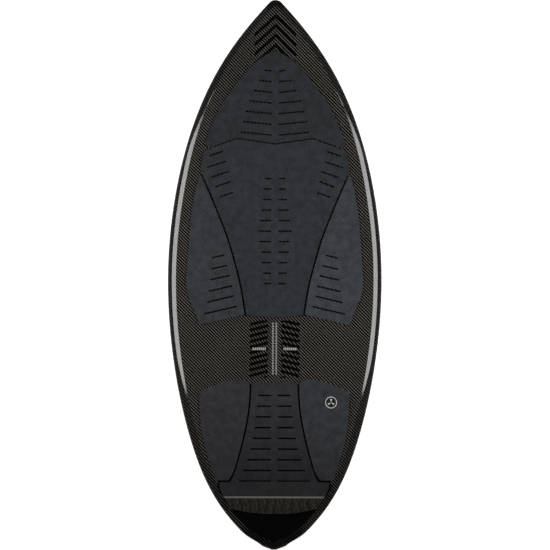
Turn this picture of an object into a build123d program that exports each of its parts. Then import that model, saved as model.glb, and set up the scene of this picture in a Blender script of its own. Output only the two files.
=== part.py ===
from build123d import *
from math import atan2, cos, degrees, radians, sin, sqrt, tan
import os

# Strapless directional board: foam core, carbon skins, seven EVA deck pads, tail kick
# and three removable fins. Millimetres. +Y is the nose, +X the starboard side, +Z up.
# The origin is on the centreline, halfway along, on the flat spot of the bottom.

os.makedirs("parts", exist_ok=True)

# ---------------------------------------------------------------- driving dimensions
# Plan outline
length = 1372.0
half_length = length / 2
half_width = 266.7
nose_tip_radius = 21.0
nose_half_angle = 43.0
rail_points = [
    (128.5, 535.5),
    (200.5, 385.7),
    (242.0, 235.9),
    (half_width, 11.0),
    (252.4, -213.5),
    (208.7, -413.2),
    (143.5, -563.0),
    (83.0, -638.0),
    (51.4, -662.8),
    (17.2, -682.8),
]

# Side profile: a straight run amidships, then one arc to each tip
nose_rocker = 60.0
tail_rocker = 22.0
bottom_flat_nose = 100.0
bottom_flat_tail = -150.0
thickness = 30.0
nose_thickness = 16.0
tail_thickness = 14.0
deck_flat_nose = 60.0
deck_flat_tail = -200.0

# Rail section, measured inwards from the outline and down from the deck
crease_nose = 15.5
crease_middle = 20.0
crease_tail = 17.5
strip_width = 10.0
strip_least = 0.8
strip_angle = 14.0
strip_nose_start, strip_nose_full = 462.0, 305.0
strip_tail_full, strip_tail_end = -190.0, -372.0
band_foot_inset = 3.0
band_drop = 8.5
edge_angle = 65.0
tuck_inset = 10.0
tuck_height = 9.0
seam_height = 12.0
cut_outside = 30.0
rail_steps = 40
cut_beyond = 2.0
cut_over = 12.0
cut_over_tip = 3.0
cut_under = 5.0
tip_fade_start, tip_fade_end = 160.0, 30.0

# Room left around the board by the tools that cut it
overrun = 12.0
side_room = 20.0
above_all = 150.0
below_all = -60.0

# Laminate and stringer
skin = 1.5
stringer_width = 4.0

# EVA pads: outlines of the starboard halves, measured on the plan
pad_height = 4.5
slot_width = 4.0
seam_gap = 4.2
nose_seam_gap = 3.2
seam_lean = 20.0
nose_flank = [(0, 560.4), (38.3, 539.2), (88, 488), (126.4, 435.6), (153.6, 385.7), (178, 313)]
nose_seam = [(178, 313), (95, 342.5), (0, 328.9)]
shoulder = [(178, 309.5), (183, 285.8), (186.4, 260)]
front_seam = [
    (186.7, 256),
    (166, 210.9),
    (137.8, 143.5),
    (117.8, 91.1),
    (102.7, 41.2),
    (88.7, -11.3),
    (78.5, -63.7),
    (73.3, -99.5),
]
front_center_foot = [(32, -104.4), (0, -106.2)]
front_side_foot = [(111.2, -107.4), (188, -126.6)]
front_side_outer = [
    (188, -126.6),
    (201.5, -88.7),
    (219.3, -38.7),
    (219.4, 11),
    (216, 61),
    (212.3, 111),
    (207.5, 161),
    (198.6, 210.9),
    (187.0, 251.5),
]
tail_seam = [
    (59.8, -268),
    (60.9, -308),
    (64.4, -343),
    (71.2, -383),
    (79.8, -421),
    (89.6, -458),
    (100.6, -493),
    (112.9, -515.5),
]
tail_center_head = [(36.7, -268.4), (0, -269.7)]
tail_side_head = [(79.1, -262.2), (111.6, -263.4), (161.5, -280.9), (188.5, -293)]
tail_side_outer = [
    (188.5, -293),
    (186.3, -338),
    (179.8, -400.7),
    (167.1, -450.6),
    (155.7, -488),
    (145.6, -513.3),
]
kick_wing = [(136, -517.7), (136.7, -525.5), (130.3, -545.5), (115.1, -570.5), (107.6, -583)]
kick_rear = [(107.6, -583), (60, -593), (0, -596.2)]

# Drain slots cut through the pads: starboard side, inner end first
nose_slot_pitch = 26.7
nose_slot_ends = [27, 41, 53.4, 64.7, 73.4, 80.9, 85.9]
nose_slot_start = (8.6, 509.2)
nose_slot_rise = 0.1
column_slot_pitch = 26.27
column_slot_ends = [25.7, 27.4, 30.7, 34.2, 37.9, 41.7, 37.9, 35.2, 32.6, 29.4, 26.8]
column_slot_start = (8.9, 240.9)
tail_slot_pitch = 26.77
tail_slot_ends = [40.2, 42.7, 45.2, 48.9, 53.9, 60.2, 67.7, 77.6, 87.6]
tail_slot_start = (8.4, -300.9)
shoulder_slots = [
    ((163.8, 297.1), (130, 308.3)),
    ((170, 268.3), (122.6, 283.3)),
    ((160, 243.4), (115, 258.3)),
    ((148.8, 219.6), (110.1, 233.4)),
    ((137.6, 194.7), (105.1, 205.9)),
]
side_slots = [
    ((157.6, 42.4), (126.4, 49.9)),
    ((158.7, 14.4), (118.8, 23.7)),
    ((161.1, -12.5), (111.2, -1.3)),
    ((164.8, -41.2), (106.1, -27.5)),
    ((169.6, -68.7), (101, -52.5)),
    ((175.7, -97.4), (94.6, -78.7)),
]

# Tail kick, heights above the deck
kick_front = -515.5
kick_ridge = -552.0
kick_lip = 5.0
kick_end = -600.0
kick_rise = 18.0
kick_rear_height = 5.0

# Badge on the starboard tail pad
badge_at = (141.5, -318.0)
badge_radius = 16.2
badge_height = 1.2

# Fin system: fin sections are (depth, chord, leading edge, width) below the board
side_fin_x = 158.0
side_fin_y = -425.0
center_fin_y = -560.0
fin_toe = 2.5
fin_cant = 5.0
fin_gap = 0.5
fin_edge = 0.8
fin_belly = 0.62
fin_sections = [
    (0, 95, 50, 7.0),
    (18, 80, 38, 6.0),
    (34, 60, 18, 4.8),
    (46, 36, -6, 3.2),
    (52, 14, -26, 2.0),
]
tab_length = 26.0
tab_width = 6.0
tab_depth = 10.5
tab_spacing = 51.0
slot_play = 0.3
slot_side_play = 0.1
slot_floor_play = 0.7
box_length = 100.0
box_width = 30.0
box_height = 13.5
block_margin = 14.0
block_proud = 6.0
screw_radius = 2.5
screw_length = 6.0
screw_play = 0.05
screw_lean = 40.0
screw_reach = 6.5
screw_tip_gap = 1.96
screw_cone = 1.5
socket_across = 2.5
socket_depth = 2.5


# ---------------------------------------------------------------- side profile
def arc_radius(run, height):
    """Radius of the arc that leaves the straight run level and rises by height over run."""
    return (run**2 + height**2) / (2 * height)


def arc_rise(run, radius, lift=0.0):
    """Height gained at a distance run from the start of such an arc, lifted square to it."""
    return radius - sqrt((radius - lift) ** 2 - run**2)


bottom_nose_arc = arc_radius(half_length - bottom_flat_nose, nose_rocker)
bottom_tail_arc = arc_radius(half_length + bottom_flat_tail, tail_rocker)
deck_nose_arc = arc_radius(half_length - deck_flat_nose, nose_rocker + nose_thickness - thickness)
deck_tail_arc = arc_radius(half_length + deck_flat_tail, tail_rocker + tail_thickness - thickness)


def bottom_z(y, lift=0.0):
    if y > bottom_flat_nose:
        return arc_rise(y - bottom_flat_nose, bottom_nose_arc, lift)
    if y < bottom_flat_tail:
        return arc_rise(bottom_flat_tail - y, bottom_tail_arc, lift)
    return lift


def deck_z(y, lift=0.0):
    if y > deck_flat_nose:
        return thickness + arc_rise(y - deck_flat_nose, deck_nose_arc, lift)
    if y < deck_flat_tail:
        return thickness + arc_rise(deck_flat_tail - y, deck_tail_arc, lift)
    return thickness + lift


def fullness(y):
    """Local thickness as a share of the thickness amidships."""
    return (deck_z(y) - bottom_z(y)) / thickness


def lofty(y, low, high):
    """Smooth step from 0 at low to 1 at high."""
    share = min(max((y - low) / (high - low), 0.0), 1.0)
    return share * share * (3 - 2 * share)


# ---------------------------------------------------------------- plan outline
flank = radians(nose_half_angle)
tip_centre = half_length - nose_tip_radius
tip_end = (nose_tip_radius * cos(flank), tip_centre + nose_tip_radius * sin(flank))

tip_tangents = [(sin(flank), -cos(flank)), (-1, 0)]
nose_arc = RadiusArc((0, half_length), tip_end, nose_tip_radius)
rail_curve = Spline([tip_end] + rail_points + [(0, -half_length)], tangents=tip_tangents)
even = [step / rail_steps for step in range(rail_steps + 1)]


def inward(heading):
    """Direction in plan from the starboard outline towards the middle of the board."""
    return Vector(heading.Y, -heading.X, 0)


def plan_face(inset):
    """Plan outline of the board, pulled in by inset, as a sketch."""
    rail = [(rail_curve @ share) + inward(rail_curve % share) * inset for share in even]
    with BuildSketch() as plan:
        with BuildLine():
            RadiusArc((0, half_length - inset), rail[0], nose_tip_radius - inset)
            Spline(rail, tangents=tip_tangents)
            Line((0, inset - half_length), (0, half_length - inset))
        make_face()
        mirror(about=Plane.YZ)
    return plan.sketch


# ---------------------------------------------------------------- rail bevels
def crease_inset(y):
    fore = crease_middle + (crease_nose - crease_middle) * lofty(y, 150, 480)
    aft = (crease_tail - crease_middle) * lofty(-y, 350, 600)
    return fore + aft


def strip_share(y):
    fore = 1 - lofty(y, strip_nose_full, strip_nose_start)
    aft = 1 - lofty(-y, -strip_tail_full, -strip_tail_end)
    return min(fore, aft)


def rail_stations():
    """Planes square to the starboard outline from the nose tip round to the tail tip."""
    along = [(nose_arc @ share, nose_arc % share) for share in (0.0, 0.5)]
    for share in even:
        along.append((rail_curve @ share, rail_curve % share))
    planes = []
    for point, heading in along:
        planes.append(Plane(point, x_dir=inward(heading), z_dir=-heading))
    return planes


def height_along(plane, inset, height):
    """Height of the deck or bottom under a point inset from the outline on this plane."""
    return height((plane.origin + plane.x_dir * inset).Y)


def top_section(plane, inset):
    """Corners of the cut that forms the deck side of the rail: strip, band and edge."""
    y = plane.origin.Y
    crease = crease_inset(y)
    steep = tan(radians(edge_angle)) * fullness(y)
    drop = band_drop * fullness(y)
    near_tip = lofty(y, half_length - tip_fade_start, half_length - tip_fade_end)
    reach = cut_over + (cut_over_tip - cut_over) * near_tip
    if inset > 0:
        slope = drop / (crease - band_foot_inset)
        corners = [(crease + reach, -reach * slope)]
    else:
        slope = tan(radians(strip_angle))
        strip = strip_least + (strip_width - strip_least) * strip_share(y)
        corners = [(crease + reach, -reach * slope), (crease - strip, strip * slope)]
    corners += [
        (band_foot_inset, drop),
        (-cut_beyond, drop + (band_foot_inset + cut_beyond) * steep),
        (-cut_outside, drop + (band_foot_inset + cut_beyond) * steep),
    ]
    line = []
    for distance, fall in corners:
        level = height_along(plane, max(distance, 0.0), deck_z)
        line.append((distance + inset, level - fall - inset))
    line.append((inset - cut_outside, above_all))
    line.append((crease + reach + inset, above_all))
    return line


def bottom_section(plane, inset):
    """Corners of the cut that tucks the rail under towards the bottom."""
    y = plane.origin.Y
    rise = tuck_height * fullness(y)
    slope = rise / tuck_inset
    corners = [
        (tuck_inset + cut_under, -cut_under * slope),
        (-cut_beyond, rise + cut_beyond * slope),
        (-cut_outside, rise + cut_beyond * slope),
    ]
    line = []
    for distance, climb in corners:
        level = height_along(plane, max(distance, 0.0), bottom_z)
        line.append((distance + inset, level + climb + inset))
    line.append((inset - cut_outside, below_all))
    line.append((tuck_inset + cut_under + inset, below_all))
    return line


def rail_cutter(section, inset):
    """One rail's cut, lofted from nose to tail through sections square to the outline."""
    with BuildPart() as cutter:
        for plane in rail_stations():
            with BuildSketch(plane):
                with BuildLine():
                    Polyline(*section(plane, inset), close=True)
                make_face()
        loft()
    return cutter.part


# ---------------------------------------------------------------- hull
def bottom_line(lift):
    """Rocker line from tail to nose, lifted square to itself, as three lines of a sketch."""
    reach = half_length + overrun
    TangentArc((bottom_flat_nose, lift), (reach, bottom_z(reach, lift)), tangent=(1, 0))
    Line((bottom_flat_nose, lift), (bottom_flat_tail, lift))
    TangentArc((bottom_flat_tail, lift), (-reach, bottom_z(-reach, lift)), tangent=(-1, 0))


def deck_line(lift):
    """Deck line from tail to nose, lifted square to itself, as three lines of a sketch."""
    reach = half_length + overrun
    level = thickness + lift
    TangentArc((deck_flat_nose, level), (reach, deck_z(reach, lift)), tangent=(1, 0))
    Line((deck_flat_nose, level), (deck_flat_tail, level))
    TangentArc((deck_flat_tail, level), (-reach, deck_z(-reach, lift)), tangent=(-1, 0))


def hull_side(inset):
    """Side profile between the rocker line and the deck line, pulled in by inset."""
    reach = half_length + overrun
    with BuildSketch(Plane.YZ) as side:
        with BuildLine():
            bottom_line(inset)
            deck_line(-inset)
            Line((reach, bottom_z(reach, inset)), (reach, deck_z(reach, -inset)))
            Line((-reach, bottom_z(-reach, inset)), (-reach, deck_z(-reach, -inset)))
        make_face()
    return side.sketch


def deck_layer(low, high):
    """Full-width solid between the deck line lifted by low and by high."""
    reach = half_length + overrun
    with BuildPart() as layer:
        with BuildSketch(Plane.YZ):
            with BuildLine():
                deck_line(low)
                deck_line(high)
                Line((reach, deck_z(reach, low)), (reach, deck_z(reach, high)))
                Line((-reach, deck_z(-reach, low)), (-reach, deck_z(-reach, high)))
            make_face()
        extrude(amount=half_width + side_room, both=True)
    return layer.part


def hull(inset):
    """The board's outer form, pulled in by inset all over."""
    cuts = [rail_cutter(top_section, inset), rail_cutter(bottom_section, inset)]
    with BuildPart() as body:
        with BuildSketch(Plane.XY.offset(below_all)):
            add(plan_face(inset))
        extrude(amount=above_all - below_all)
        extrude(hull_side(inset), amount=half_width + side_room, both=True, mode=Mode.INTERSECT)
        for cut in cuts:
            add(cut, mode=Mode.SUBTRACT)
            add(cut.mirror(Plane.YZ), mode=Mode.SUBTRACT)
    return body.part


# ---------------------------------------------------------------- fin places
def fin_plane(x, y, toe, cant):
    """Plane at the foot of a fin: x forward along the fin, z down and out of the board."""
    side = (x > 0) - (x < 0)
    slope = (bottom_z(y + 1) - bottom_z(y - 1)) / 2
    down = Vector(side * tan(radians(cant)), slope, -1)
    forward = Vector(-side * tan(radians(toe)), 1, slope)
    forward = forward - down * (forward.dot(down) / down.dot(down))
    return Plane(origin=(x, y, bottom_z(y)), x_dir=forward, z_dir=down)


# Each fin's foot plane, and the side its screws come from: 1 is to starboard
fin_places = {
    "left": (fin_plane(-side_fin_x, side_fin_y, fin_toe, fin_cant), 1),
    "right": (fin_plane(side_fin_x, side_fin_y, fin_toe, fin_cant), -1),
    "center": (fin_plane(0, center_fin_y, 0, 0), 1),
}
tab_places = {"front": tab_spacing / 2, "rear": -tab_spacing / 2}


def screw_axis(foot, turn, tab):
    """Axis of a grub screw, from the side of the tab out to the bottom of the board."""
    lean = radians(screw_lean)
    start = foot.from_local_coords(Vector(tab_places[tab], turn * tab_width / 2, -screw_reach))
    aim = foot.y_dir * (turn * sin(lean)) + foot.z_dir * cos(lean)
    return Axis(start, aim)


def block_around(foot, margin, depth):
    """Rounded block that stands across the bottom around a fin's two tabs."""
    with BuildPart() as block:
        with BuildSketch(foot.offset(block_proud)):
            SlotOverall(box_length + 2 * margin, box_width + 2 * margin)
        extrude(amount=-(depth + block_proud))
    return block.part


# ---------------------------------------------------------------- hull pieces
outer_hull = hull(0)
inner_hull = hull(skin)

box_blocks = {}
foam_blocks = {}
for name, (foot, turn) in fin_places.items():
    box_blocks[name] = block_around(foot, 0.0, box_height)
    foam_blocks[name] = block_around(foot, block_margin, 2 * thickness)

# Everything above the seam that runs round the rail at its widest line
seam_reach = half_length + overrun
seam_line = []
for share in (-1.0, -0.75, -0.5, -0.25, 0.0, 0.25, 0.5, 0.75, 1.0):
    seam_y = share * seam_reach
    seam_line.append((seam_y, bottom_z(seam_y) + seam_height * fullness(seam_y)))
with BuildPart() as above_seam:
    with BuildSketch(Plane.YZ):
        with BuildLine():
            Spline(*seam_line)
            over_it = [(seam_reach, above_all), (-seam_reach, above_all)]
            Polyline(seam_line[-1], *over_it, seam_line[0])
        make_face()
    extrude(amount=half_width + side_room, both=True)

with BuildPart() as deck_skin:
    add(outer_hull)
    add(inner_hull, mode=Mode.SUBTRACT)
    add(above_seam.part, mode=Mode.INTERSECT)
deck_skin.part.label = "deck_skin"
export_step(deck_skin.part, "parts/deck_skin.step")

with BuildPart() as bottom_skin:
    add(outer_hull)
    add(inner_hull, mode=Mode.SUBTRACT)
    add(above_seam.part, mode=Mode.SUBTRACT)
    for name in fin_places:
        add(box_blocks[name], mode=Mode.SUBTRACT)
bottom_skin.part.label = "bottom_skin"
export_step(bottom_skin.part, "parts/bottom_skin.step")

with BuildPart() as stringer:
    add(inner_hull)
    with BuildSketch(Plane.YZ):
        Rectangle(2 * seam_reach, 2 * above_all)
    extrude(amount=stringer_width / 2, both=True, mode=Mode.INTERSECT)
    for name in fin_places:
        add(foam_blocks[name], mode=Mode.SUBTRACT)
stringer.part.label = "stringer"
export_step(stringer.part, "parts/stringer.step")

for side, name in ((-1, "core_left"), (1, "core_right")):
    with BuildPart() as core:
        add(inner_hull)
        with BuildSketch(Plane.YZ.offset(side * stringer_width / 2)):
            Rectangle(2 * seam_reach, 2 * above_all)
        extrude(amount=side * (half_width + side_room), mode=Mode.INTERSECT)
        for fin_name in fin_places:
            add(foam_blocks[fin_name], mode=Mode.SUBTRACT)
    core.part.label = name
    export_step(core.part, f"parts/{name}.step")

# ---------------------------------------------------------------- fin system
for name, (foot, turn) in fin_places.items():
    with BuildPart() as fin_block:
        add(inner_hull)
        add(foam_blocks[name], mode=Mode.INTERSECT)
        add(box_blocks[name], mode=Mode.SUBTRACT)
    fin_block.part.label = f"{name}_fin_block"
    export_step(fin_block.part, f"parts/{name}_fin_block.step")

    with BuildPart() as fin_box:
        add(box_blocks[name])
        add(outer_hull, mode=Mode.INTERSECT)
        with BuildSketch(foot.offset(block_proud)):
            with Locations(*[(place, 0) for place in tab_places.values()]):
                Rectangle(tab_length + 2 * slot_play, tab_width + 2 * slot_side_play)
        extrude(amount=-(block_proud + tab_depth + slot_floor_play), mode=Mode.SUBTRACT)
        for tab in tab_places:
            axis = screw_axis(foot, turn, tab)
            with BuildSketch(Plane(origin=axis.position, z_dir=axis.direction)):
                Circle(screw_radius + screw_play)
            extrude(amount=box_width, mode=Mode.SUBTRACT)
    fin_box.part.label = f"{name}_fin_box"
    export_step(fin_box.part, f"parts/{name}_fin_box.step")

    with BuildPart() as fin:
        for depth, chord, lead, width in fin_sections:
            tail = lead - chord
            belly = tail + fin_belly * chord
            edge = fin_edge / 2
            with BuildSketch(foot.offset(fin_gap + depth)):
                with BuildLine():
                    Spline((lead, edge), (belly, width / 2), (tail, edge))
                    Line((tail, edge), (tail, -edge))
                    Spline((tail, -edge), (belly, -width / 2), (lead, -edge))
                    Line((lead, -edge), (lead, edge))
                make_face()
        loft()
        with BuildSketch(foot.offset(fin_gap)):
            with Locations(*[(place, 0) for place in tab_places.values()]):
                Rectangle(tab_length, tab_width)
        extrude(amount=-(fin_gap + tab_depth))
    fin.part.label = f"{name}_fin"
    export_step(fin.part, f"parts/{name}_fin.step")

    for tab in tab_places:
        axis = screw_axis(foot, turn, tab)
        aim = axis.direction
        tip = axis.position + aim * screw_tip_gap
        with BuildPart() as fin_screw:
            with BuildSketch(Plane(origin=tip, x_dir=foot.x_dir, z_dir=foot.x_dir.cross(aim))):
                with BuildLine():
                    Polyline(
                        (0, 0),
                        (screw_radius / 2, 0),
                        (screw_radius, screw_cone),
                        (screw_radius, screw_length),
                        (0, screw_length),
                        close=True,
                    )
                make_face()
            revolve(axis=Axis(tip, aim))
            with BuildSketch(Plane(origin=tip + aim * screw_length, z_dir=aim)):
                RegularPolygon(radius=socket_across / sqrt(3), side_count=6)
            extrude(amount=-socket_depth, mode=Mode.SUBTRACT)
        fin_screw.part.label = f"{name}_fin_screw_{tab}"
        export_step(fin_screw.part, f"parts/{name}_fin_screw_{tab}.step")

# ---------------------------------------------------------------- pad outlines
def shifted(points, across=0.0, along=0.0):
    return [(x + across, y + along) for x, y in points]


def mirrored_runs(runs):
    return [((-start[0], start[1]), (-end[0], end[1])) for start, end in runs]


def pad_outline(runs, corners, whole):
    """Pad outline from runs of points, each a smooth curve, with its corners rounded."""
    with BuildSketch() as shape:
        with BuildLine():
            for run in runs:
                if len(run) > 2:
                    Spline(*run)
                else:
                    Line(*run)
        make_face()
        if whole:
            mirror(about=Plane.YZ)
        for (x, y), radius in corners:
            at_corner = []
            for vertex in shape.vertices():
                if abs(abs(vertex.X) - x) < 0.01 and abs(vertex.Y - y) < 0.01:
                    at_corner.append(vertex)
            fillet(at_corner, radius=radius)
    return shape.sketch


def slot_rows(start, pitch, ends, rise):
    """Rows of grooves one pitch apart, each from the same inner line to its own end."""
    rows = []
    for row, end in enumerate(ends):
        y = start[1] - row * pitch
        rows.append(((start[0], y), (end, y + rise * (end - start[0]))))
    return rows


def through_slots(runs):
    """Rounded slots along the given runs."""
    with BuildSketch() as slots:
        for start, end in runs:
            across = Vector(*end) - Vector(*start)
            middle = (Vector(*end) + Vector(*start)) * 0.5
            turn = degrees(atan2(across.Y, across.X))
            with Locations(Location((middle.X, middle.Y, 0), (0, 0, turn))):
                SlotOverall(across.length, slot_width)
    return slots.sketch


# The front seams lean, so they are a little wider across than square on
front_seam_half = seam_gap / 2 / cos(radians(seam_lean))
tail_seam_half = seam_gap / 2

nose_outline = pad_outline(
    [nose_flank, nose_seam[:2], nose_seam[1:], [nose_seam[-1], nose_flank[0]]],
    [(nose_flank[0], 16.0), (nose_seam[0], 10.0), (nose_seam[1], 25.0)],
    whole=True,
)

front_top = [shoulder[0]] + shifted(nose_seam[1:], along=-nose_seam_gap)
front_edge = [shoulder[-1]] + shifted(front_seam[1:], across=-front_seam_half)
front_foot = [front_edge[-1]] + front_center_foot
front_center_outline = pad_outline(
    [front_top[:2], front_top[1:], shoulder, front_edge, front_foot, [front_foot[-1], front_top[-1]]],
    [(shoulder[0], 8.0), (front_top[1], 25.0), (shoulder[-1], 5.0), (front_foot[0], 4.0)],
    whole=True,
)

front_inner = [front_side_outer[-1]] + shifted(front_seam[1:], across=front_seam_half)
front_side_edge = [front_inner[-1]] + front_side_foot
front_side_outline = pad_outline(
    [front_inner, front_side_edge, front_side_outer],
    [(front_inner[0], 3.0), (front_inner[-1], 4.0), (front_side_outer[0], 11.0)],
    whole=False,
)

tail_edge = shifted(tail_seam, across=-tail_seam_half)
tail_edge[-1] = (tail_edge[-1][0], kick_wing[0][1])
tail_head = [tail_edge[0]] + tail_center_head
tail_center_outline = pad_outline(
    [
        tail_head,
        tail_edge,
        [tail_edge[-1], kick_wing[0]],
        kick_wing,
        kick_rear,
        [kick_rear[-1], tail_head[-1]],
    ],
    [(tail_edge[0], 9.0), (kick_wing[0], 3.0), (kick_rear[0], 7.0)],
    whole=True,
)

tail_inner = shifted(tail_seam, across=tail_seam_half)
tail_inner[-1] = (tail_inner[-1][0], tail_side_outer[-1][1])
tail_side_outline = pad_outline(
    [
        [tail_inner[0]] + tail_side_head,
        tail_inner,
        [tail_inner[-1], tail_side_outer[-1]],
        tail_side_outer,
    ],
    [(tail_inner[0], 9.0), (tail_side_outer[0], 8.0), (tail_side_outer[-1], 7.0)],
    whole=False,
)

nose_slots = slot_rows(nose_slot_start, nose_slot_pitch, nose_slot_ends, nose_slot_rise)
column_slots = slot_rows(column_slot_start, column_slot_pitch, column_slot_ends, 0)
tail_slots = slot_rows(tail_slot_start, tail_slot_pitch, tail_slot_ends, 0)
front_center_slots = column_slots + shoulder_slots

# ---------------------------------------------------------------- pads
pad_layer = deck_layer(0.0, pad_height)

# The tail centre pad lies on the deck as far as the kick, then climbs the kick's ramp
kick_foot_z = deck_z(kick_front)
kick_ridge_z = deck_z(kick_ridge) + kick_rise
with BuildPart() as tail_layer:
    add(pad_layer)
    with BuildSketch(Plane.YZ):
        Polygon(
            (kick_front, below_all),
            (kick_front, above_all),
            (-seam_reach, above_all),
            (-seam_reach, below_all),
            align=None,
        )
    extrude(amount=half_width, both=True, mode=Mode.SUBTRACT)
    with BuildSketch(Plane.YZ):
        Polygon(
            (kick_front, kick_foot_z),
            (kick_front, kick_foot_z + pad_height),
            (kick_ridge, kick_ridge_z + pad_height),
            (kick_ridge, kick_ridge_z),
            align=None,
        )
    extrude(amount=half_width, both=True)

pads = {
    "nose_pad": (nose_outline, nose_slots + mirrored_runs(nose_slots), pad_layer),
    "front_center_pad": (
        front_center_outline,
        front_center_slots + mirrored_runs(front_center_slots),
        pad_layer,
    ),
    "front_right_pad": (front_side_outline, side_slots, pad_layer),
    "front_left_pad": (
        mirror(front_side_outline, about=Plane.YZ),
        mirrored_runs(side_slots),
        pad_layer,
    ),
    "tail_center_pad": (
        tail_center_outline,
        tail_slots + mirrored_runs(tail_slots),
        tail_layer.part,
    ),
    "tail_right_pad": (tail_side_outline, [], pad_layer),
    "tail_left_pad": (mirror(tail_side_outline, about=Plane.YZ), [], pad_layer),
}
for name, (shape, runs, layer) in pads.items():
    with BuildPart() as pad:
        with BuildSketch():
            add(shape)
        extrude(amount=above_all)
        add(layer, mode=Mode.INTERSECT)
        if runs:
            extrude(through_slots(runs), amount=above_all, mode=Mode.SUBTRACT)
    pad.part.label = name
    export_step(pad.part, f"parts/{name}.step")

# ---------------------------------------------------------------- tail kick
with BuildPart() as tail_kick:
    with BuildSketch():
        add(tail_center_outline)
    extrude(amount=above_all)
    add(deck_layer(0.0, 2 * thickness), mode=Mode.INTERSECT)
    with BuildSketch(Plane.YZ):
        Polygon(
            (kick_front, 0),
            (kick_front, kick_foot_z),
            (kick_ridge, kick_ridge_z),
            (kick_ridge, kick_ridge_z + pad_height),
            (kick_ridge - kick_lip, kick_ridge_z + pad_height),
            (kick_end, deck_z(kick_end) + kick_rear_height),
            (kick_end, 0),
            align=None,
        )
    extrude(amount=half_width, both=True, mode=Mode.INTERSECT)
tail_kick.part.label = "tail_kick"
export_step(tail_kick.part, "parts/tail_kick.step")

# ---------------------------------------------------------------- badge
with BuildPart() as badge:
    with BuildSketch():
        with Locations(badge_at):
            Circle(badge_radius)
    extrude(amount=above_all)
    add(deck_layer(pad_height, pad_height + badge_height), mode=Mode.INTERSECT)
badge.part.label = "badge"
export_step(badge.part, "parts/badge.step")
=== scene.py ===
import math

import bmesh
import bpy
import numpy as np
from mathutils import Matrix, Vector, geometry


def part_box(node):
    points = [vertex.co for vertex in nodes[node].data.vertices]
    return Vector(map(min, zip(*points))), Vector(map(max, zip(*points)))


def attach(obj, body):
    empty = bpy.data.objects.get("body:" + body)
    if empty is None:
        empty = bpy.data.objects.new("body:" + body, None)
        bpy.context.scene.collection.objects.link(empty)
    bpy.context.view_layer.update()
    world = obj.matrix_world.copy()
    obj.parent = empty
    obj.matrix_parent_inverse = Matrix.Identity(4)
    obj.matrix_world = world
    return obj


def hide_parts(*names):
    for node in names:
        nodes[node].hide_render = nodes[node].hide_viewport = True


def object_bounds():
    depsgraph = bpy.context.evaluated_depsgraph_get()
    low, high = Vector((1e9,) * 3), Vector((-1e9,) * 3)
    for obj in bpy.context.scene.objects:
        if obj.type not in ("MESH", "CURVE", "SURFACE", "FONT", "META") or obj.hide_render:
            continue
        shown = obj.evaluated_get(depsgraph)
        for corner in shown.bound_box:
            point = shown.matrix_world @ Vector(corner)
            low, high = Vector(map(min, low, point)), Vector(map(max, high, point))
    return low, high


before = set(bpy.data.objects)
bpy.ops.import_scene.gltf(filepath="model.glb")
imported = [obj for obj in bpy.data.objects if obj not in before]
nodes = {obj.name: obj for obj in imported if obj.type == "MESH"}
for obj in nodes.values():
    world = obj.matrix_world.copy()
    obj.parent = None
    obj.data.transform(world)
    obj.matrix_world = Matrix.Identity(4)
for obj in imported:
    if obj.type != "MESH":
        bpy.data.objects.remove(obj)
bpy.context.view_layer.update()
MM = 0.001


# ---------------------------------------------------------------- camera
def make_camera():
    """Straight above the deck, nose up, with the board filling the height of the frame."""
    low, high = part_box("deck_skin")
    data = bpy.data.cameras.new("camera")
    data.lens, data.sensor_width = 800.0, 36.0
    data.clip_end = 90.0
    camera = bpy.data.objects.new("camera", data)
    margin, aim_height, off_centre = 1.0008, 0.035, 0.0006
    reach = margin * (high.y - low.y) * data.lens / data.sensor_width
    camera.location = (off_centre, 0.0, aim_height + reach)
    camera.rotation_euler = (0, 0, math.radians(0.16))
    bpy.context.scene.collection.objects.link(camera)
    bpy.context.scene.camera = camera


make_camera()
bpy.context.scene.view_settings.view_transform = "Standard"


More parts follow.
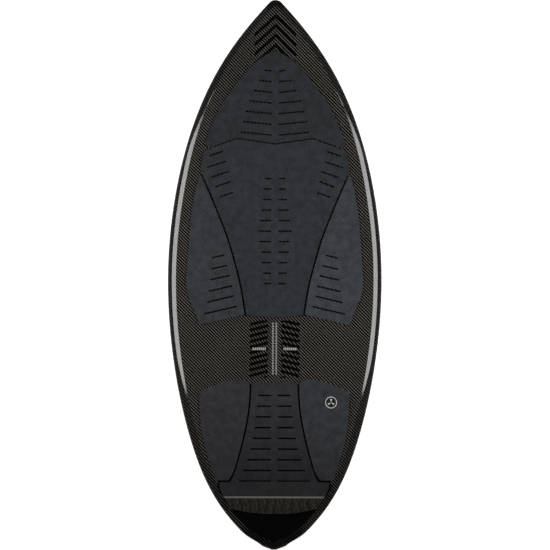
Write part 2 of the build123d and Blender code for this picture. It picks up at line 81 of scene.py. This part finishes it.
# ---------------------------------------------------------------- shader nodes
class Paint:
    """A material built from nodes, with a short call for each kind of node used here."""

    def __init__(self, name):
        self.material = bpy.data.materials.new(name)
        self.material.use_nodes = True
        self.tree = self.material.node_tree
        self.tree.nodes.clear()
        output = self.tree.nodes.new("ShaderNodeOutputMaterial")
        self.shader = self.tree.nodes.new("ShaderNodeBsdfPrincipled")
        self.tree.links.new(self.shader.outputs[0], output.inputs["Surface"])
        coordinates = self.tree.nodes.new("ShaderNodeTexCoord")
        self.place = coordinates.outputs["Object"]
        self.normal = coordinates.outputs["Normal"]

    def feed(self, socket, value):
        if isinstance(value, bpy.types.NodeSocket):
            self.tree.links.new(value, socket)
        else:
            socket.default_value = value

    def set(self, **values):
        for name, value in values.items():
            self.feed(self.shader.inputs[name.replace("_", " ")], value)

    def math(self, operation, *values):
        node = self.tree.nodes.new("ShaderNodeMath")
        node.operation = operation
        for socket, value in zip(node.inputs, values):
            self.feed(socket, value)
        return node.outputs[0]

    def add(self, *values):
        total = values[0]
        for value in values[1:]:
            total = self.math("ADD", total, value)
        return total

    def times(self, *values):
        total = values[0]
        for value in values[1:]:
            total = self.math("MULTIPLY", total, value)
        return total

    def split(self, vector):
        node = self.tree.nodes.new("ShaderNodeSeparateXYZ")
        self.feed(node.inputs[0], vector)
        return node.outputs

    def join(self, *values):
        node = self.tree.nodes.new("ShaderNodeCombineXYZ")
        for socket, value in zip(node.inputs, values):
            self.feed(socket, value)
        return node.outputs[0]

    def noise(self, vector, scale, detail=2.0):
        node = self.tree.nodes.new("ShaderNodeTexNoise")
        self.feed(node.inputs["Vector"], vector)
        node.inputs["Scale"].default_value = scale
        node.inputs["Detail"].default_value = detail
        return node.outputs["Fac"]

    def span(self, value, low, high, start=0.0, end=1.0, smooth=False):
        """start at low and below, end at high and above, and in step between them."""
        node = self.tree.nodes.new("ShaderNodeMapRange")
        node.interpolation_type = "SMOOTHSTEP" if smooth else "LINEAR"
        for socket, number in zip(node.inputs, (value, low, high, start, end)):
            self.feed(socket, number)
        return node.outputs[0]

    def between(self, value, low, high, soft):
        """1 from low to high and 0 outside, with edges that are soft wide."""
        rise = self.span(value, low - soft, low + soft)
        return self.times(rise, self.span(value, high - soft, high + soft, 1.0, 0.0))

    def mix(self, share, first, second):
        node = self.tree.nodes.new("ShaderNodeMix")
        node.data_type = "RGBA"
        self.feed(node.inputs[0], share)
        self.feed(node.inputs[6], first)
        self.feed(node.inputs[7], second)
        return node.outputs[2]

    def bump(self, height, distance, strength=1.0):
        node = self.tree.nodes.new("ShaderNodeBump")
        node.inputs["Strength"].default_value = strength
        node.inputs["Distance"].default_value = distance
        self.feed(node.inputs["Height"], height)
        self.feed(self.shader.inputs["Normal"], node.outputs[0])


def tint(value, red=1.0, blue=1.0):
    """A colour with this green, and red and blue in these shares of it."""
    return (value * red, value, value * blue, 1.0)


# black for the prints, and for the shade painted on the deck
PRINT_AND_SHADE_BLACK = tint(0.0012)


# ---------------------------------------------------------------- carbon
TOW = 2.07 * MM
TWILL_REPEAT = 4.0  # tows


def carbon(name, prints_and_shade):
    """Clear-coated 2x2 twill, laid straight along the board."""
    p = Paint(name)
    x, y, z = p.split(p.place)
    across, along = p.math("DIVIDE", x, TOW), p.math("DIVIDE", y, TOW)
    column, row = p.math("FLOOR", across), p.math("FLOOR", along)
    in_column, in_row = p.math("SUBTRACT", across, column), p.math("SUBTRACT", along, row)
    step = p.math("FLOORED_MODULO", p.add(column, row), TWILL_REPEAT)
    warp = p.math("LESS_THAN", step, TWILL_REPEAT / 2)

    def arch(share):
        """1 in the middle of a tow and 0 at its edges."""
        return p.times(4.0, share, p.math("SUBTRACT", 1.0, share))

    warp_run = p.times(0.5, p.add(step, in_row))
    weft_run = p.times(0.5, p.add(p.math("SUBTRACT", step, 2.0), in_column))
    warp_height = p.add(p.times(0.5, arch(in_column)), p.times(0.5, arch(warp_run)))
    weft_height = p.add(p.times(0.5, arch(in_row)), p.times(0.5, arch(weft_run)))
    weft = p.math("SUBTRACT", 1.0, warp)
    height = p.add(p.times(warp, warp_height), p.times(weft, weft_height))

    fibre_x = p.noise(p.join(p.times(x, 12.0), y, z), 260.0)
    fibre_y = p.noise(p.join(x, p.times(y, 12.0), z), 260.0)
    cloud = p.noise(p.place, 9.0, 1.0)
    fibre = p.add(p.times(warp, fibre_y), p.times(weft, fibre_x))
    light = p.span(fibre, 0.3, 0.7, 0.8, 1.2)
    # painted highlight: the fibre sheen of the raised floats is painted into the colour as bright
    # diagonals, one repeat of the twill apart
    diagonal = p.math("PINGPONG", p.add(across, along, 0.5), TWILL_REPEAT / 2)
    glint = p.span(diagonal, 1.1, 1.85, smooth=True)
    shine = p.times(glint, p.add(0.7, p.times(0.3, warp, arch(in_column))), light)
    shine = p.times(shine, p.span(cloud, 0.3, 0.7, 0.92, 1.08))
    # how flat the surface lies: 1 on the level deck, and less round the rail
    flat = p.math("ABSOLUTE", p.split(p.normal)["Z"])
    strip_low, strip_high = 0.955, 0.977
    strip = p.between(flat, strip_low, strip_high, 0.003)
    # painted shade: the weave is painted fainter round the rail, where the surface tilts away from the
    # lamps, and hardly shows under the glossy bevel strip
    shine = p.times(shine, p.span(flat, 0.5, 0.95, 0.05, 0.5))
    shine = p.times(shine, p.span(strip, 0.0, 1.0, 1.0, 0.25))
    # painted light: the weave is painted twice as bright on the level deck as round the rail
    shine = p.times(shine, p.span(flat, strip_low, 0.98, 1.0, 2.0))
    # painted reflection: the weave is painted browner round the rail at the tail, in place of a warm
    # light mirrored there
    painted_warm_reflection = p.times(p.span(flat, 0.9, 0.95, 1.0, 0.0), p.span(y, -0.64, -0.54, 1.0, 0.0))
    lines = p.mix(painted_warm_reflection, tint(0.19, 1.1, 0.86), tint(0.15, 1.6, 0.5))
    colour = p.mix(shine, tint(0.0004), lines)
    if prints_and_shade:
        # painted shade: the black painted as shade stops at the crease where the rail begins
        level = p.span(flat, 0.975, 0.985)
        colour = p.mix(p.times(level, painted_deck_shade(p, x, y)), colour, PRINT_AND_SHADE_BLACK)
        colour = prints(p, x, y, colour)
    p.set(Base_Color=colour, Roughness=0.42, Specular_IOR_Level=0.06)
    p.set(Coat_Weight=p.span(flat, 0.82, 0.95, 0.0, 0.85), Coat_Roughness=0.08)
    p.bump(height, 0.00008, 0.35)
    return p.material


def painted_deck_shade(p, x, y):
    """How far the deck is painted black as shade: on the floors of the slots and seams under the pads,
    more so towards the tail where the light falls off, and behind them at the tail tip where the light
    fades.
    """
    side = p.math("ABSOLUTE", x)
    front_width, tail_width, tip = 0.178, 0.14, 0.515
    taper = p.add(0.03, p.times(0.62, p.math("SUBTRACT", tip, y)))
    inside = p.math("LESS_THAN", side, p.math("MINIMUM", front_width, taper))
    front = p.times(inside, p.span(y, -0.104, -0.1))
    tail = p.times(p.math("LESS_THAN", side, tail_width), p.span(y, -0.275, -0.271, 1.0, 0.0))
    behind = p.span(y, -0.53, -0.515, 1.0, 0.0)
    full = p.span(y, -0.35, 0.35, 1.0, 0.75)
    return p.math("MAXIMUM", behind, p.times(p.math("MAXIMUM", front, tail), full))


def prints(p, x, y, colour):
    """Plain printed marks under the clear coat: nose chevrons, and bars amidships."""
    side = p.math("ABSOLUTE", x)
    soft = 0.3 * MM
    # nested chevrons that point at the nose
    rise = p.add(y, p.times(0.9, side))
    chevrons = 0.0
    for start in (0.568, 0.592, 0.616, 0.640):
        mark = p.between(rise, start, start + 0.010, soft)
        chevrons = p.math("MAXIMUM", chevrons, mark)
    chevrons = p.times(chevrons, p.between(side, 0.0, 0.052, soft))
    # two ladders of slanted dark bars, with light ticks between them and light dashes across each
    bar, bar_pitch = 0.0078, 0.0142
    step = p.math("FLOORED_MODULO", p.add(y, 0.1125, p.times(0.25, side)), bar_pitch)
    bars = p.between(step, 0.0, bar, soft)
    bars = p.times(bars, p.between(y, -0.256, -0.1135, soft))
    bars = p.times(bars, p.between(side, 0.0165, 0.062, soft))
    dark = p.math("MAXIMUM", chevrons, bars)
    tick_pitch, dash_pitch = 0.0042, 0.0050
    tick = p.math("FLOORED_MODULO", y, tick_pitch)
    ticks = p.times(p.between(tick, 0.0, tick_pitch / 2, soft), p.between(y, -0.248, -0.118, soft))
    ticks = p.times(ticks, p.between(side, 0.0022, 0.0062, soft))
    dash = p.math("FLOORED_MODULO", x, dash_pitch)
    dashes = p.times(p.between(dash, 0.0, 0.0034, soft), p.between(side, 0.022, 0.056, soft))
    dashes = p.times(dashes, p.between(y, -0.1875, -0.1815, soft))
    light = p.math("MAXIMUM", ticks, dashes)
    return p.mix(light, p.mix(dark, colour, PRINT_AND_SHADE_BLACK), tint(0.55))


# ---------------------------------------------------------------- foam and plastics
def eva(name, value, turn=45.0, red=0.94, blue=1.15, tail_shade=1.0):
    """Matt foam with a fine cut cross-hatch. grime is the share of its colour left at the tail, where
    it is painted darker as shade.
    """
    p = Paint(name)
    x, y, z = p.split(p.place)
    pitch = 4.36 * MM  # from one cut to the next
    cuts = []
    for angle in (turn, turn + 90.0):
        a = math.radians(angle)
        line = p.add(p.times(x, math.cos(a) / pitch), p.times(y, math.sin(a) / pitch))
        cuts.append(p.span(p.math("PINGPONG", line, 0.5), 0.04, 0.3, smooth=True))
    diamonds = p.times(*cuts)
    pores = p.noise(p.place, 1400.0, 3.0)
    mottle = p.noise(p.place, 14.0, 4.0)
    hatch_share = p.span(p.noise(p.place, 60.0, 2.0), 0.35, 0.65, 0.7, 1.0)
    low, high = tint(value * 0.95, red, blue), tint(value * 1.12, red, blue)
    top = p.mix(p.span(mottle, 0.3, 0.7), low, high)
    speck = p.mix(p.span(pores, 0.42, 0.6, 0.0, 0.25), top, tint(value * 0.5, red, blue))
    # painted shade: the cuts of the cross-hatch are painted nearly black, as shade in them, at full
    # strength in some patches and at 70% in others
    hatch_shaded = p.mix(hatch_share, top, p.mix(diamonds, tint(value * 0.05, red, blue), speck))
    # painted shade: darker towards the tail, where the light falls off
    left = p.span(y, -0.54, -0.32, tail_shade, 1.0)
    p.set(Base_Color=p.mix(left, tint(0.0), hatch_shaded), Roughness=0.88, Specular_IOR_Level=0.2)
    p.bump(p.add(diamonds, p.times(0.25, pores)), 0.0003, 0.4)
    return p.material


def plastic(name, value, roughness, grain=900.0, coat=0.0):
    p = Paint(name)
    fine = p.noise(p.place, grain, 2.0)
    broad = p.noise(p.place, 30.0, 2.0)
    colour = p.mix(broad, tint(value * 0.85), tint(value * 1.15))
    p.set(Base_Color=colour, Roughness=p.span(fine, 0.3, 0.7, roughness - 0.06, roughness + 0.06))
    p.set(Coat_Weight=coat, Coat_Roughness=0.05)
    p.bump(fine, 0.00004, 0.4)
    return p.material


def metal(name, value, roughness):
    p = Paint(name)
    x, y, z = p.split(p.place)
    lines = p.noise(p.join(p.times(x, 8.0), y, z), 700.0)
    p.set(Base_Color=p.mix(lines, tint(value * 0.8), tint(value)), Metallic=1.0)
    p.set(Roughness=p.span(lines, 0.3, 0.7, roughness - 0.08, roughness + 0.08))
    p.bump(lines, 0.00002, 0.3)
    return p.material


def foam(name, value, red, blue):
    p = Paint(name)
    cells = p.noise(p.place, 500.0, 3.0)
    p.set(Base_Color=p.mix(cells, tint(value * 0.9, red, blue), tint(value, red, blue)), Roughness=0.9)
    p.bump(cells, 0.0002, 0.5)
    return p.material


def wood(name, value):
    p = Paint(name)
    x, y, z = p.split(p.place)
    grain = p.noise(p.join(x, p.times(y, 0.05), z), 400.0, 4.0)
    p.set(Base_Color=p.mix(grain, tint(value * 0.7, 1.3, 0.6), tint(value, 1.25, 0.6)), Roughness=0.6)
    p.bump(grain, 0.0001, 0.4)
    return p.material


def dress(node, material):
    """Gives a CAD node its material."""
    data = nodes[node].data
    data.materials.clear()
    data.materials.append(material)


# ---------------------------------------------------------------- soft pieces
def cad_surface(node, facing):
    """The largest run of faces of a CAD node that look up (facing 1) or down (facing -1):
    its boundary loops, largest first, as arrays of points."""
    bm = bmesh.new()
    bm.from_mesh(nodes[node].data)
    bmesh.ops.remove_doubles(bm, verts=bm.verts, dist=2e-6)
    bm.normal_update()
    left = {f for f in bm.faces if f.normal.z * facing > 0.8}
    best, best_area = set(), 0.0
    while left:
        seed = left.pop()
        group, queue = {seed}, [seed]
        while queue:
            for edge in queue.pop().edges:
                for other in edge.link_faces:
                    if other in left:
                        left.discard(other)
                        group.add(other)
                        queue.append(other)
        area = sum(f.calc_area() for f in group)
        if area > best_area:
            best, best_area = group, area
    ways = {}
    for face in best:
        for loop in face.loops:
            if sum(f in best for f in loop.edge.link_faces) == 1:
                ways[loop.vert.index] = loop.link_loop_next.vert.index
    bm.verts.ensure_lookup_table()
    loops = []
    while ways:
        start = at = min(ways)
        ring = []
        while at in ways:
            ring.append(np.array(bm.verts[at].co))
            at = ways.pop(at)
        loops.append(np.array(ring))
    bm.free()
    loops.sort(key=lambda ring: -np.ptp(ring[:, 0]) * np.ptp(ring[:, 1]))
    return loops


def profile(loops):
    """Height as a function of y, read from the points of some loops."""
    points = np.concatenate(loops)
    points = points[np.argsort(points[:, 1])]
    return lambda y: np.interp(y, points[:, 1], points[:, 2])


def refine(ring, longest, shortest=0.0004):
    """The loop with its long sides divided and its very short ones merged."""
    kept = [ring[0]]
    for point in ring[1:]:
        if np.linalg.norm(point - kept[-1]) > shortest:
            kept.append(point)
    if np.linalg.norm(kept[0] - kept[-1]) < shortest:
        kept.pop()
    out = []
    for a, b in zip(kept, kept[1:] + kept[:1]):
        parts = max(1, math.ceil(np.linalg.norm(b - a) / longest))
        out += [a + (b - a) * k / parts for k in range(parts)]
    return np.array(out)


def moved_in(ring, distance):
    """The 2D loop moved to its left by distance, mitred at its corners."""
    ahead = np.roll(ring, -1, 0) - ring
    ahead /= np.linalg.norm(ahead, axis=1)[:, None]
    normal = np.stack([-ahead[:, 1], ahead[:, 0]], 1)
    both = normal + np.roll(normal, 1, 0)
    both /= np.linalg.norm(both, axis=1)[:, None]
    mitre = np.maximum((both * normal).sum(1), 0.5)
    return ring + both * (distance / mitre)[:, None]


def triangles(loops, loose):
    """Delaunay triangles inside the first 2D loop and outside the others, which are convex,
    and for each of their points the number of its loop point, or its own place."""
    points = [Vector(p) for loop in loops for p in loop]
    rim, edges, owner = len(points), [], []
    for number, loop in enumerate(loops):
        start, count = len(owner), len(loop)
        edges += [(start + k, start + (k + 1) % count) for k in range(count)]
        owner += [number] * count
    points += [Vector(p) for p in loose]
    out, _, faces, origin, _, _ = geometry.delaunay_2d_cdt(points, edges, [], 1, 1e-7)
    spots, owners = [], []
    for place, sources in zip(out, origin):
        on_rim = [s for s in sources if s < rim]
        spots.append(on_rim[0] if on_rim else place)
        owners.append(owner[on_rim[0]] if on_rim else 0)
    kept = []
    for face in faces:
        loops_met = {owners[k] for k in face}
        if 0 in loops_met or len(loops_met) > 1:
            kept.append(face)
    return kept, spots


def spread(loops, pitch):
    """Grid points one pitch apart over the first loop, clear of every loop."""
    low, high = loops[0].min(0), loops[0].max(0)
    x = np.arange(low[0] + pitch / 2, high[0], pitch)
    y = np.arange(low[1] + pitch / 2, high[1], pitch)
    grid = np.stack(np.meshgrid(x, y), -1).reshape(-1, 2)
    for loop in loops:
        gap = np.linalg.norm(grid[:, None, :] - loop[None, :, :], axis=2).min(1)
        grid = grid[gap > 0.45 * pitch]
    return grid


def slab(name, loops, radii, top, under, loose):
    """A closed sheet with rounded top edges. The first loop is its outline, and the others
    are cut right through it. top and under are heights as functions of (x, y)."""
    verts, faces, feet, rims, rim_loops = [], [], [], [], []

    def ring_at(points, z):
        start = len(verts)
        verts.extend(zip(points[:, 0], points[:, 1], z))
        return list(range(start, start + len(points)))

    for loop, radius in zip(loops, radii):
        last = ring_at(loop, under(loop[:, 0], loop[:, 1]))
        feet += last
        for angle in (0, 22.5, 45, 67.5, 90):
            turn = math.radians(angle)
            inner = moved_in(loop, radius * (1 - math.cos(turn)))
            drop = radius * (1 - math.sin(turn))
            ring = ring_at(inner, top(inner[:, 0], inner[:, 1]) - drop)
            for k in range(len(ring)):
                n = (k + 1) % len(ring)
                faces.append((last[k], last[n], ring[n], ring[k]))
            last = ring
        rims += last
        rim_loops.append(inner)

    tris, spots = triangles(rim_loops, loose(rim_loops))
    ids = []
    for spot in spots:
        if isinstance(spot, int):
            ids.append(rims[spot])
        else:
            xy = np.array([spot])
            ids += ring_at(xy, top(xy[:, 0], xy[:, 1]))
    faces += [tuple(ids[k] for k in tri) for tri in tris]
    tris, spots = triangles(loops, [])
    faces += [tuple(feet[spots[k]] for k in reversed(tri)) for tri in tris]

    mesh = bpy.data.meshes.new(name)
    mesh.from_pydata(verts, [], faces)
    bm = bmesh.new()
    bm.from_mesh(mesh)
    bmesh.ops.delete(bm, geom=[v for v in bm.verts if not v.link_faces], context="VERTS")
    bmesh.ops.recalc_face_normals(bm, faces=bm.faces)
    bm.to_mesh(mesh)
    bm.free()
    mesh.shade_smooth()
    mesh.set_sharp_from_angle(angle=math.radians(40))
    return mesh


def place_soft(name, mesh, node, material):
    """Puts a piece on the hull in place of its CAD node."""
    piece = bpy.data.objects.new(name, mesh)
    mesh.materials.append(material)
    bpy.context.scene.collection.objects.link(piece)
    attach(piece, "hull")
    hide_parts(node)


def counter(ring):
    """The 2D loop running counter-clockwise."""
    x, y = ring[:, 0], ring[:, 1]
    area = (x * np.roll(y, -1) - np.roll(x, -1) * y).sum()
    return ring if area > 0 else ring[::-1]


EDGE_RADIUS, SLOT_RADIUS = 0.7 * MM, 0.3 * MM


def make_pad(node, material):
    """A foam sheet with soft edges, with the outline and the slots of its CAD node."""
    tops = cad_surface(node, 1)
    top_line, under_line = profile(tops), profile(cad_surface(node, -1))
    loops = [counter(refine(tops[0], 5 * MM)[:, :2])]
    loops += [counter(refine(ring, 5 * MM, 0.0001)[:, :2])[::-1] for ring in tops[1:]]
    mesh = slab(
        node + "_foam",
        loops,
        [EDGE_RADIUS] + [SLOT_RADIUS] * len(tops[1:]),
        lambda x, y: top_line(y),
        lambda x, y: under_line(y),
        lambda rims: spread(rims, 12 * MM),
    )
    place_soft(node + "_foam", mesh, node, material)


pads = {
    "nose_pad": eva("eva_nose", 0.062, 45.0, 0.95, 1.16),
    "front_center_pad": eva("eva_front_center", 0.070, 45.0, 0.92, 1.17),
    "front_left_pad": eva("eva_front_left", 0.090, 36.0, 0.91, 1.12),
    "front_right_pad": eva("eva_front_right", 0.108, 54.0, 0.94, 1.17),
    "tail_center_pad": eva("eva_tail_center", 0.066, 45.0, 0.98, 1.1, 0.5),
    "tail_left_pad": eva("eva_tail_left", 0.074, 45.0, 0.98, 1.1, 0.72),
    "tail_right_pad": eva("eva_tail_right", 0.085, 45.0, 0.97, 1.15, 0.72),
}
for node, material in pads.items():
    make_pad(node, material)

# ---------------------------------------------------------------- tail kick
LIP_WIDTH = 5 * MM


def make_kick():
    """Firm foam wedge: smooth under the pad, with a painted highlight on its lip and a carved back
    face.
    """
    under = cad_surface("tail_kick", -1)
    foot = profile(under)
    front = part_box("tail_kick")[1].y
    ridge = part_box("tail_center_pad")[0].y
    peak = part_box("tail_kick")[1].z
    pad = profile(cad_surface("tail_center_pad", -1))
    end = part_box("tail_kick")[0].y
    lip_end = ridge - LIP_WIDTH
    low_end = foot(end) + 5 * MM

    def top(x, y):
        back = (lip_end - y) / (lip_end - end)
        wedge = peak + (low_end - peak) * np.clip(back, 0, 1)
        fade = np.clip((lip_end - y) / (3 * MM), 0, 1) * np.clip((y - end) / (2 * MM) + 0.4, 0, 1)
        carved = wedge - veins(x, lip_end - y) * fade
        return np.where(y > ridge - 0.15 * MM, pad(y), carved)

    outer = counter(refine(under[0], 4 * MM)[:, :2])

    def loose(rims):
        """Points over the wedge: close together on the carved back, and sparse under the pad."""
        half_width, coarse = 0.14, 9 * MM
        rows = [ridge, ridge - 0.3 * MM]
        rows += list(np.arange(ridge - 1.2 * MM, end, -1.0 * MM))
        points = []
        for row in rows:
            points += [(x, row) for x in np.arange(-half_width, half_width, 0.9 * MM)]
        for x in np.arange(-half_width, half_width, coarse):
            points += [(x, row) for row in np.arange(ridge + 6 * MM, front, coarse)]
        grid = np.array(points)
        gap = np.array([np.linalg.norm(rims[0] - spot, axis=1).min() for spot in grid])
        return grid[gap > 0.7 * MM]

    mesh = slab("tail_kick_foam", [outer], [0.8 * MM], top, lambda x, y: foot(y), loose)
    place_soft("tail_kick_foam", mesh, "tail_kick", kick_foam(lip_end, ridge))


# Carved grooves of the kick: pitch, shift, sway, half width and depth, in millimetres
VEINS = ((21.0, 3.0, 2.6, 2.4, 2.0), (10.5, 0.0, 2.4, 1.8, 1.3), (10.5, 5.2, -2.4, 1.8, 1.3))
DEEPEST = 2.0
VEIN_WAVE, VEIN_DRIFT = 6.5, 31.0


def veins(x, down):
    """Depth of the carved grooves: families of wavy lines that cross in long diamonds."""
    depth = np.zeros_like(x)
    for pitch, shift, sway, width, cut in VEINS:
        wave = sway * np.sin(down / MM / VEIN_WAVE + x / MM / VEIN_DRIFT)
        line = (x / MM - shift - wave) / pitch
        away = np.abs(line - np.round(line)) * pitch
        depth = np.maximum(depth, cut * np.exp(-2 * (away / width) ** 2))
    return depth * MM


def painted_vein_shade(p, x, down):
    """Where shade is painted into the carved grooves: 1 on the middle of the deepest grooves, less on
    shallower ones, and 0 between them.
    """
    mask = 0.0
    for pitch, shift, sway, width, cut in VEINS:
        phase = p.add(p.times(down, 1 / (MM * VEIN_WAVE)), p.times(x, 1 / (MM * VEIN_DRIFT)))
        wave = p.times(p.math("SINE", phase), sway)
        line = p.times(p.add(p.times(x, 1 / MM), -shift, p.times(wave, -1.0)), 1 / pitch)
        away = p.math("PINGPONG", line, 0.5)
        groove = p.times(p.span(away, 0.0, width / pitch, 1.0, 0.0, smooth=True), cut / DEEPEST)
        mask = p.math("MAXIMUM", mask, groove)
    return mask


def kick_foam(lip_end, ridge):
    p = Paint("eva_kick")
    x, y, z = p.split(p.place)
    pores = p.noise(p.place, 1200.0, 3.0)
    streak = p.noise(p.join(x, p.times(y, 0.3), z), 220.0, 3.0)
    value = 0.034
    low, high = tint(value * 0.4, 1.25, 0.75), tint(value * 1.3, 1.25, 0.75)
    body = p.mix(p.span(streak, 0.35, 0.65), low, high)
    body = p.mix(p.span(pores, 0.4, 0.6, 0.0, 0.3), body, tint(value * 0.4, 1.2, 0.8))
    carved = painted_vein_shade(p, x, p.math("SUBTRACT", lip_end, y))
    # painted shade: the carved grooves are painted nearly black, as shade in them
    body = p.mix(carved, body, tint(0.001))
    # painted highlight: the flat lip along the ridge is painted light grey, where the light catches it
    lip_highlight = p.between(y, lip_end, ridge + 0.5 * MM, 0.5 * MM)
    colour = p.mix(lip_highlight, body, tint(0.15, 1.05, 0.90))
    p.set(Base_Color=colour, Roughness=0.8, Specular_IOR_Level=0.25)
    p.bump(pores, 0.0002, 0.4)
    return p.material


make_kick()


# ---------------------------------------------------------------- badge
def make_badge():
    """A moulded medallion: a raised rim and a plain raised mark on a dark field."""
    low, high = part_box("badge")
    centre = (low + high) / 2
    radius = (high.x - low.x) / 2
    face, relief = high.z - 0.45 * MM, high.z - 0.05 * MM
    chamfer = 0.3 * MM
    # radius and height of each ring, from the foot in to the field
    steps = [
        (radius, low.z),
        (radius, face - chamfer),
        (radius - chamfer, face),
        (15.0 * MM, face),
        (14.7 * MM, relief),
        (12.8 * MM, relief),
        (12.5 * MM, face),
    ]
    bm = bmesh.new()
    rings = []
    count = 96
    for r, z in steps:
        ring = []
        for k in range(count):
            a = 2 * math.pi * k / count
            place = (centre.x + r * math.cos(a), centre.y + r * math.sin(a), z)
            ring.append(bm.verts.new(place))
        rings.append(ring)
    for lower, upper in zip(rings, rings[1:]):
        for k in range(count):
            n = (k + 1) % count
            bm.faces.new((lower[k], lower[n], upper[n], upper[k]))
    bm.faces.new(rings[-1])
    bm.faces.new(rings[0][::-1])
    # three blades, each a little block let into the field
    for turn in (90, 210, 330):
        a = math.radians(turn)
        along = Vector((math.cos(a), math.sin(a), 0))
        side = Vector((-math.sin(a), math.cos(a), 0))
        corners = []
        for out, wide in ((1.4, 0.5), (8.6, 2.6), (8.6, -2.6), (1.4, -0.5)):
            corners.append(centre + along * (out * MM) + side * (wide * MM))
        top = [bm.verts.new((c.x, c.y, relief)) for c in corners]
        foot = [bm.verts.new((c.x, c.y, face - 0.05 * MM)) for c in corners]
        bm.faces.new(top[::-1])
        bm.faces.new(foot)
        for k in range(4):
            n = (k + 1) % 4
            bm.faces.new((top[k], top[n], foot[n], foot[k]))
    bmesh.ops.recalc_face_normals(bm, faces=bm.faces)
    mesh = bpy.data.meshes.new("badge_medallion")
    bm.to_mesh(mesh)
    bm.free()
    mesh.shade_smooth()
    mesh.set_sharp_from_angle(angle=math.radians(30))
    p = Paint("badge_enamel")
    z = p.split(p.place)["Z"]
    raised = p.span(z, high.z - 0.3 * MM, high.z - 0.2 * MM)
    grain = p.noise(p.place, 900.0, 2.0)
    white = p.mix(grain, tint(0.62), tint(0.75))
    p.set(Base_Color=p.mix(raised, tint(0.004), white), Roughness=0.4)
    p.bump(grain, 0.00003, 0.3)
    place_soft("badge_medallion", mesh, "badge", p.material)


make_badge()

# ---------------------------------------------------------------- hard pieces
dress("deck_skin", carbon("carbon_deck", True))
dress("bottom_skin", carbon("carbon_bottom", False))
core = foam("core_foam", 0.85, 1.0, 0.96)
dense = foam("block_foam", 0.7, 1.1, 0.6)
box_plastic = plastic("box_plastic", 0.03, 0.5)
fin_plastic = plastic("fin_composite", 0.02, 0.3, 500.0, 0.4)
steel = metal("screw_steel", 0.6, 0.3)
dress("core_left", core)
dress("core_right", core)
dress("stringer", wood("stringer_wood", 0.4))
for fin in ("left", "right", "center"):
    dress(fin + "_fin_block", dense)
    dress(fin + "_fin_box", box_plastic)
    dress(fin + "_fin", fin_plastic)
    for tab in ("front", "rear"):
        dress(f"{fin}_fin_screw_{tab}", steel)


# ---------------------------------------------------------------- studio
def area_light(name, place, aim, size, strength):
    """A rectangular light whose brightness is strength, whatever its size."""
    data = bpy.data.lights.new(name, "AREA")
    data.shape = "RECTANGLE"
    data.size, data.size_y = size
    data.energy = strength * size[0] * size[1] * math.pi
    lamp = bpy.data.objects.new(name, data)
    lamp.location = place
    back = (Vector(place) - Vector(aim)).normalized()
    side = Vector((0, 1, 0)).cross(back).normalized()
    up = back.cross(side)
    turn = Matrix((side, up, back)).transposed().to_4x4()
    lamp.matrix_world = Matrix.Translation(place) @ turn
    lamp.visible_camera = False
    bpy.context.scene.collection.objects.link(lamp)


def make_world():
    """Light from low down all round, and none from overhead."""
    world = bpy.data.worlds.new("studio")
    bpy.context.scene.world = world
    world.use_nodes = True
    tree = world.node_tree
    tree.nodes.clear()
    output = tree.nodes.new("ShaderNodeOutputWorld")
    background = tree.nodes.new("ShaderNodeBackground")
    direction = tree.nodes.new("ShaderNodeTexCoord")
    split = tree.nodes.new("ShaderNodeSeparateXYZ")
    ramp = tree.nodes.new("ShaderNodeValToRGB")
    links = tree.links
    links.new(direction.outputs["Generated"], split.inputs[0])
    links.new(split.outputs["Z"], ramp.inputs[0])
    links.new(ramp.outputs[0], background.inputs[0])
    links.new(background.outputs[0], output.inputs[0])
    stops = ramp.color_ramp.elements
    stops[0].position, stops[0].color = 0.12, (0.9, 0.9, 0.9, 1)
    stops[1].position, stops[1].color = 0.42, (0.0, 0.0, 0.0, 1)


def make_floor():
    """White paper just under the fins, which glows so that it stays white."""
    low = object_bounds()[0]
    bm = bmesh.new()
    bmesh.ops.create_circle(bm, cap_ends=True, segments=96, radius=40.0)
    mesh = bpy.data.meshes.new("floor")
    bm.to_mesh(mesh)
    bm.free()
    floor = bpy.data.objects.new("floor", mesh)
    floor.location = (0, 0, low.z - 0.0005)
    bpy.context.scene.collection.objects.link(floor)
    p = Paint("floor_paper")
    p.set(Base_Color=tint(0.88), Roughness=0.9, Specular_IOR_Level=0.1)
    p.set(Emission_Color=(1, 1, 1, 1), Emission_Strength=0.8)
    mesh.materials.append(p.material)


make_world()
make_floor()
# two soft boxes, one above each rail, that the bevel strips mirror
BANK_OUT, BANK_ALONG, BANK_UP, BANK_AIM = 1.03, 0.14, 1.35, 0.25
BANK_SIZE, BANK_STRENGTH = (0.32, 1.15), 10.5
for name, side in (("bank_left", -1), ("bank_right", 1)):
    place, aim = (side * BANK_OUT, BANK_ALONG, BANK_UP), (side * BANK_AIM, BANK_ALONG, 0)
    area_light(name, place, aim, BANK_SIZE, BANK_STRENGTH)
